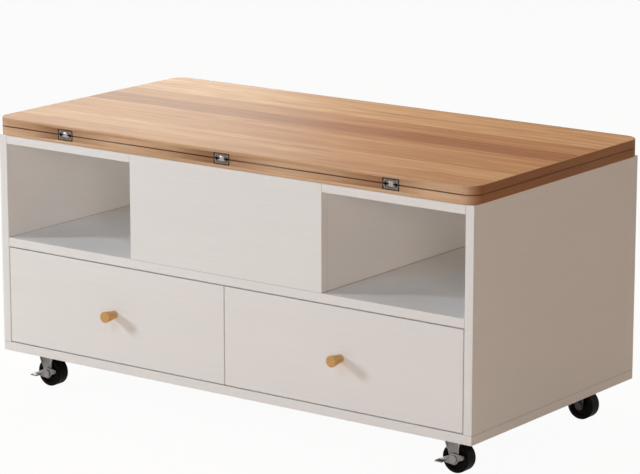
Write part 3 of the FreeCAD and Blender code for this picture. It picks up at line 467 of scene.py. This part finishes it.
def islands(node):
    """The lowest and highest corner of each separate solid of a node."""
    shape = copied_shape(node)
    left = set(shape.verts)
    boxes = []
    while left:
        stack = [left.pop()]
        found = []
        while stack:
            vert = stack.pop()
            found.append(vert.co.copy())
            for edge in vert.link_edges:
                other = edge.other_vert(vert)
                if other in left:
                    left.discard(other)
                    stack.append(other)
        boxes.append(tuple(Vector([pick(place[side] for place in found) for side in range(3)])
                           for pick in (min, max)))
    shape.free()
    return sorted(boxes, key=lambda pair: tuple(pair[0]))


def eased_box(shape, low, high, edge):
    """Add a box with its edges eased."""
    made = bmesh.ops.create_cube(shape, size=1.0)["verts"]
    for vert in made:
        vert.co = Vector([low[side] if vert.co[side] < 0 else high[side] for side in range(3)])
    edges = list({item for vert in made for item in vert.link_edges})
    bmesh.ops.bevel(shape, geom=edges, offset=edge, segments=EASE_SEGMENTS, profile=0.5, affect="EDGES",
                    clamp_overlap=True)


def boards():
    """The cabinet's boards and the drawers' panels, with eased edges."""
    grain_axis = {
        "base_board": ALONG_X, "middle_shelf": ALONG_X, "centre_front_panel": ALONG_X,
        "back_panel": ALONG_X, "centre_back_panel": ALONG_X, "drawer_partition": ALONG_Y,
        "side_panel_left": ALONG_Y, "side_panel_right": ALONG_Y,
        "divider_left": ALONG_Y, "divider_right": ALONG_Y,
        "cubby_ceiling_left": ALONG_X, "cubby_ceiling_right": ALONG_X,
    }
    boxes = []
    for side in SIDES:
        grain_axis[f"drawer_{side}_front"] = ALONG_X
        for part, axis in (("sides", ALONG_Y), ("back", ALONG_X), ("bottom", ALONG_X)):
            grain_axis[f"drawer_{side}_{part}"] = axis
            boxes.append(f"drawer_{side}_{part}")
    for node, axis in grain_axis.items():
        shape = bmesh.new()
        for low, high in islands(node):
            eased_box(shape, low, high, BOARD_EDGE)
        shape.normal_update()
        lay_grain(shape, axis)
        finish = "drawer" if node in boxes else "board"
        piece = new_piece(f"{node}_foil", shape, body_of[node], "white_board", finish)
        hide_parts(node)


def rounded_outline(half_x, front, back, inset):
    """Corner points of a leaf's outline, anticlockwise from the front right, moved in by an inset."""
    turn = LEAF_CORNER - inset
    right, near, far = half_x - LEAF_CORNER, front + LEAF_CORNER, back - LEAF_CORNER
    points = []
    for x, y, start in ((right, near, -90), (right, far, 0), (-right, far, 90), (-right, near, 180)):
        for step in range(CORNER_STEPS + 1):
            angle = math.radians(start + 90 * step / CORNER_STEPS)
            points.append((x + turn * math.cos(angle), y + turn * math.sin(angle)))
    return points


def leaf_levels(front, seam, outer, way):
    """Height, inset and front limit of each ring round a leaf: its rolled seam edge, then its outer edge."""
    angles = [math.pi / 2 * step / ROUND_STEPS for step in range(ROUND_STEPS + 1)]
    seam_edge = [(seam + way * SEAM_ROUND * (1 - math.cos(angle)), 0.0,
                  front + SEAM_ROUND * (1 - math.sin(angle))) for angle in angles]
    outer_edge = [(outer - way * LEAF_EDGE_ROUND * (1 - math.sin(angle)),
                   LEAF_EDGE_ROUND * (1 - math.cos(angle)), front) for angle in angles]
    return seam_edge + outer_edge


def leaf_skin(low, high, levels, upwards):
    """A leaf's band, with its grain along the edge, and its two faces, with their grain along x."""
    shape = bmesh.new()
    layer = shape.loops.layers.uv.new(GRAIN_MAP)
    rings = []
    for z, inset, limit in levels:
        points = rounded_outline(high.x, low.y, high.y, inset)
        rings.append([shape.verts.new((x, max(y, limit), z)) for x, y in points])
    count = len(rings[0])
    lengths = [0.0]
    for index in range(count):
        lengths.append(lengths[-1] + (rings[-1][(index + 1) % count].co - rings[-1][index].co).length)
    for lower, upper in zip(rings, rings[1:]):
        for index in range(count):
            after = (index + 1) % count
            corners = [lower[index], lower[after], upper[after], upper[index]]
            face = shape.faces.new(corners if upwards else corners[::-1])
            face.material_index = 1
            face.smooth = True
            for loop in face.loops:
                edge = index if loop.vert in (lower[index], upper[index]) else index + 1
                loop[layer].uv = (lengths[edge], loop.vert.co.z)
    for ring, outside in ((rings[0], False), (rings[-1], True)):
        face = shape.faces.new(ring if outside == upwards else ring[::-1])
        for loop in face.loops:
            loop[layer].uv = loop.vert.co.xy
    return shape


def mortises(front, seam, way):
    """The blocks that are cut out of a leaf for its hinge plates."""
    shape = bmesh.new()
    width, depth, height = HINGE_PLATE
    bottom, top = sorted((seam - way * MORTISE_REACH, seam + way * height))
    for x in HINGE_X:
        eased_box(shape, Vector((x - width / 2, front - MORTISE_REACH, bottom)),
                  Vector((x + width / 2, front + depth, top)), MORTISE_EDGE)
    for face in shape.faces:
        face.material_index = 2
    return shape


def leaf(name, node, upwards, finish):
    """A leaf of the top: round corners, an eased outer edge, a rolled front edge at the seam and mortises."""
    low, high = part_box(node)
    seam, outer = (low.z, high.z) if upwards else (high.z, low.z)
    way = 1 if upwards else -1
    shape = leaf_skin(low, high, leaf_levels(low.y, seam, outer, way), upwards)
    piece = new_piece(name, shape, body_of[node], "leaf_wood", finish, "band", "mortise")
    carve(piece, mortises(low.y, seam, way), finish, "band", "mortise")
    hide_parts(node)


def hinge_plates(node, upwards):
    """Hinge plates with round eyes at the seam and a thin gap to the mortise round them."""
    low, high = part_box(node)
    seam = low.z if upwards else high.z
    width, depth, height = HINGE_PLATE
    shape = copied_shape(node)
    for vert in shape.verts:
        x = min(HINGE_X, key=lambda place: abs(place - vert.co.x))
        vert.co.x = x + (vert.co.x - x) * (width - 2 * HINGE_GAP) / width
        vert.co.z = seam + (vert.co.z - seam) * (height - HINGE_GAP) / height
    piece = new_piece(f"{node}_steel", shape, body_of[node], "steel", "hinge")
    eyes = bmesh.new()
    for x in HINGE_X:
        for side in (-1, 1):
            place = Matrix.Translation((x + side * HINGE_EYE_X, (low.y + high.y) / 2, seam))
            bmesh.ops.create_cone(eyes, cap_ends=True, segments=EYE_SEGMENTS, radius1=HINGE_EYE_RADIUS,
                                  radius2=HINGE_EYE_RADIUS, depth=3 * depth,
                                  matrix=place @ Matrix.Rotation(math.pi / 2, 4, "X"))
    carve(piece, eyes, "hinge")
    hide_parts(node)


def spring_route(coil_x, corner, heading):
    """Points along the right spring's wire: tip, bend, leg to the coil, turns and the anchor's leg."""
    bend_start = corner + Vector((SPRING_BEND, 0, 0))
    bend_stop = corner + heading * SPRING_BEND
    points = [Vector((SPRING_TIP_X, corner.y, corner.z)), bend_start]
    for step in range(1, ROUND_STEPS):
        share = step / ROUND_STEPS
        points.append(bend_start.lerp(corner, share).lerp(corner.lerp(bend_stop, share), share))
    points.append(bend_stop)
    for step in range(SPRING_TURNS * COIL_STEPS + 1):
        angle = 2 * math.pi * step / COIL_STEPS
        points.append(Vector((coil_x - SPRING_PITCH * step / COIL_STEPS,
                              SPRING_AXIS_Y + SPRING_RADIUS * math.sin(angle),
                              SPRING_AXIS_Z + SPRING_RADIUS * math.cos(angle))))
    points.append(points[-1] + heading * SPRING_ANCHOR_LEG)
    return points


def spring(name, side):
    """A torsion spring: its tip in the arm, turns round the cross shaft and a leg under the anchor bar."""
    slope = SPRING_PITCH / (2 * math.pi * SPRING_RADIUS)
    corner = Vector((SPRING_BEND_X - SPRING_BEND, SPRING_AXIS_Y - SPRING_TIP_LEG,
                     SPRING_AXIS_Z + SPRING_RADIUS))
    coil_x = corner.x - slope * SPRING_TIP_LEG
    points = spring_route(coil_x, corner, Vector((-slope, 1, 0)).normalized())
    curve = bpy.data.curves.new(name, "CURVE")
    curve.dimensions = "3D"
    curve.bevel_depth = SPRING_WIRE_RADIUS
    curve.bevel_resolution = WIRE_RESOLUTION
    curve.use_fill_caps = True
    line = curve.splines.new("POLY")
    line.points.add(len(points) - 1)
    for point, place in zip(line.points, points):
        point.co = (place.x * side, place.y, place.z, 1)
    drawn = new_object(name, curve)
    mesh = finished_mesh(drawn)
    bpy.data.objects.remove(drawn)
    mesh.materials.clear()
    mesh.materials.append(finishes["spring"])
    piece = new_object(name, mesh)
    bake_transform(piece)
    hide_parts("torsion_springs")


def eased(node, finish):
    """A copy of a steel solid with its sharp edges eased."""
    shape = copied_shape(node)
    bmesh.ops.dissolve_limit(shape, angle_limit=FLAT_ANGLE, verts=shape.verts, edges=shape.edges)
    piece = new_piece(f"{node}_eased", shape, body_of[node], "steel", finish)
    bevel = piece.modifiers.new("ease", "BEVEL")
    bevel.width = STEEL_EDGE
    bevel.segments = EASE_SEGMENTS
    bevel.limit_method = "ANGLE"
    bevel.angle_limit = SHARP_ANGLE
    bevel.use_clamp_overlap = True
    settle(piece)
    piece.data.set_sharp_from_angle(angle=SHARP_ANGLE)
    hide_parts(node)


def fork_flanges(place, finish):
    """Folded edges down the front leg of a caster's fork."""
    node = f"caster_fork_{place}"
    low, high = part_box(node)
    axle_low, axle_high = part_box(f"caster_axle_{place}")
    axle = (axle_low + axle_high) / 2
    profile = ((0, FORK_FOLD), (FORK_FOLD, FORK_FOLD), (FORK_FOLD, -FORK_BITE), (0, -FORK_BITE))
    shape = bmesh.new()
    for side, edge_x in ((-1, low.x), (1, high.x)):
        upper = Vector((edge_x, low.y, high.z - FORK_FOLD))
        foot = Vector((axle.x + side * FORK_EYE, low.y, axle.z))
        lower = upper.lerp(foot, FORK_FLANGE_SHARE)
        base, top = ([shape.verts.new(end + Vector((-side * inward, -outward, 0)))
                      for inward, outward in profile] for end in (lower, upper))
        walls = [[base[i - 1], base[i], top[i], top[i - 1]] for i in (1, 2, 3, 0)]
        made = [shape.faces.new(face if side > 0 else face[::-1]) for face in [base[::-1], top] + walls]
        edges = list({edge for face in made for edge in face.edges})
        bmesh.ops.bevel(shape, geom=edges, offset=FORK_FOLD / 4, segments=EASE_SEGMENTS, profile=0.5,
                        affect="EDGES")
    bmesh.ops.recalc_face_normals(shape, faces=shape.faces)
    new_piece(f"{node}_flanges", shape, body_of[node], "steel", finish)


def pressed_steel():
    """Eased steel: the casters' forks and levers, the lift's arms, frame and brackets, the hinges' links."""
    # The rear casters take the darker painted-shade copy of the fork steel.
    for end, fork, flange in (("front", "fork", "flange"), ("rear", "shade_darkened_fork", "shade_darkened_fork")):
        for side in SIDES:
            eased(f"caster_fork_{end}_{side}", fork)
            fork_flanges(f"{end}_{side}", flange)
    for side in SIDES:
        eased(f"brake_lever_front_{side}", "fork")
    for node in ("lift_front_arms", "lift_rear_arms", "lift_base_frame", "top_brackets"):
        eased(node, "steel")
    eased("hinge_links", "link")


def dress_solids():
    """Finishes for the nodes that are shown as they are."""
    # The rear axles take the darker painted-shade copy of the fork steel.
    kinds = (("knob", "knob"), ("dowels", "dowel"), ("wheel", "plastic"), ("axle_rear", "shade_darkened_fork"),
             ("axle", "screw"), ("screws", "screw"), ("pins", "screw"), ("slide", "steel"),
             ("caster_plates", "steel"))
    for name, piece in nodes.items():
        key = next((finish for part, finish in kinds if part in name), "board")
        piece.data.materials.clear()
        piece.data.materials.append(finishes[key])


def camera():
    """The photograph's viewpoint."""
    data = bpy.data.cameras.new("camera")
    data.sensor_width = CAMERA_SENSOR
    data.lens = CAMERA_LENS
    data.clip_end = CAMERA_REACH
    eye = new_object("camera", data)
    eye.location = CAMERA_PLACE
    eye.rotation_euler = (math.radians(CAMERA_PITCH), 0, math.radians(CAMERA_TURN))
    bpy.context.scene.camera = eye


def lamp(name, place, aim, size, watts, colour):
    """A soft rectangular lamp that faces a point."""
    data = bpy.data.lights.new(name, "AREA")
    data.shape = "RECTANGLE"
    data.size, data.size_y = size
    data.energy = watts
    data.color = colour
    light = new_object(name, data)
    light.location = place
    light.visible_camera = False
    light.rotation_euler = (Vector(aim) - Vector(place)).to_track_quat("-Z", "Y").to_euler()


def seen_directly(tree):
    """1 for rays from the camera and for reflections, 0 for light that falls on the object."""
    path = tree.nodes.new("ShaderNodeLightPath")
    total = path.outputs["Is Camera Ray"]
    for name in ("Is Glossy Ray", "Is Transmission Ray"):
        added = tree.nodes.new("ShaderNodeMath")
        added.operation = "MAXIMUM"
        tree.links.new(total, added.inputs[0])
        tree.links.new(path.outputs[name], added.inputs[1])
        total = added.outputs[0]
    return total


def mix_shaders(tree, factor, first, second, output):
    """Show a mix of two shaders."""
    mixed = tree.nodes.new("ShaderNodeMixShader")
    for socket, source in zip(mixed.inputs, (factor, first.outputs[0], second.outputs[0])):
        tree.links.new(source, socket)
    tree.links.new(mixed.outputs[0], tree.nodes[output].inputs["Surface"])


def surroundings():
    """A world that looks white and gives little light."""
    world = bpy.data.worlds.new("studio")
    bpy.context.scene.world = world
    world.use_nodes = True
    tree = world.node_tree
    shown = tree.nodes["Background"]
    shown.inputs["Color"].default_value = (1, 1, 1, 1)
    ambient = tree.nodes.new("ShaderNodeBackground")
    ambient.inputs["Color"].default_value = AMBIENT_COLOUR
    ambient.inputs["Strength"].default_value = AMBIENT_STRENGTH
    mix_shaders(tree, seen_directly(tree), ambient, shown, "World Output")


def ground():
    """A pale floor that looks almost white and keeps the object's shadow."""
    shape = bmesh.new()
    bmesh.ops.create_grid(shape, x_segments=1, y_segments=1, size=FLOOR_HALF)
    mesh = new_mesh("floor", shape)
    floor = new_object("floor", mesh)
    material = bpy.data.materials.new("floor")
    material.use_nodes = True
    tree = material.node_tree
    plain = tree.nodes["Principled BSDF"]
    plain.inputs["Base Color"].default_value = FLOOR_COLOUR
    plain.inputs["Roughness"].default_value = FLOOR_ROUGHNESS
    glow = tree.nodes.new("ShaderNodeEmission")
    share = tree.nodes.new("ShaderNodeMath")
    share.operation = "MULTIPLY"
    share.inputs[1].default_value = FLOOR_WHITE_SHARE
    tree.links.new(seen_directly(tree), share.inputs[0])
    mix_shaders(tree, share.outputs[0], plain, glow, "Material Output")
    mesh.materials.append(material)


def studio():
    """Soft lamps, cool from the left and the front and warm from the right and behind, round a pale floor."""
    bpy.context.scene.view_settings.view_transform = "Standard"
    for settings in LAMPS:
        lamp(*settings)
    surroundings()
    ground()


camera()
studio()
dress_solids()
boards()
leaf("upper_leaf_wood", "upper_leaf", True, "leaf_upper")
leaf("lower_leaf_wood", "lower_leaf", False, "leaf_lower")
hinge_plates("hinge_plates_upper", True)
hinge_plates("hinge_plates_lower", False)
pressed_steel()
spring("torsion_spring_left", -1)
spring("torsion_spring_right", 1)
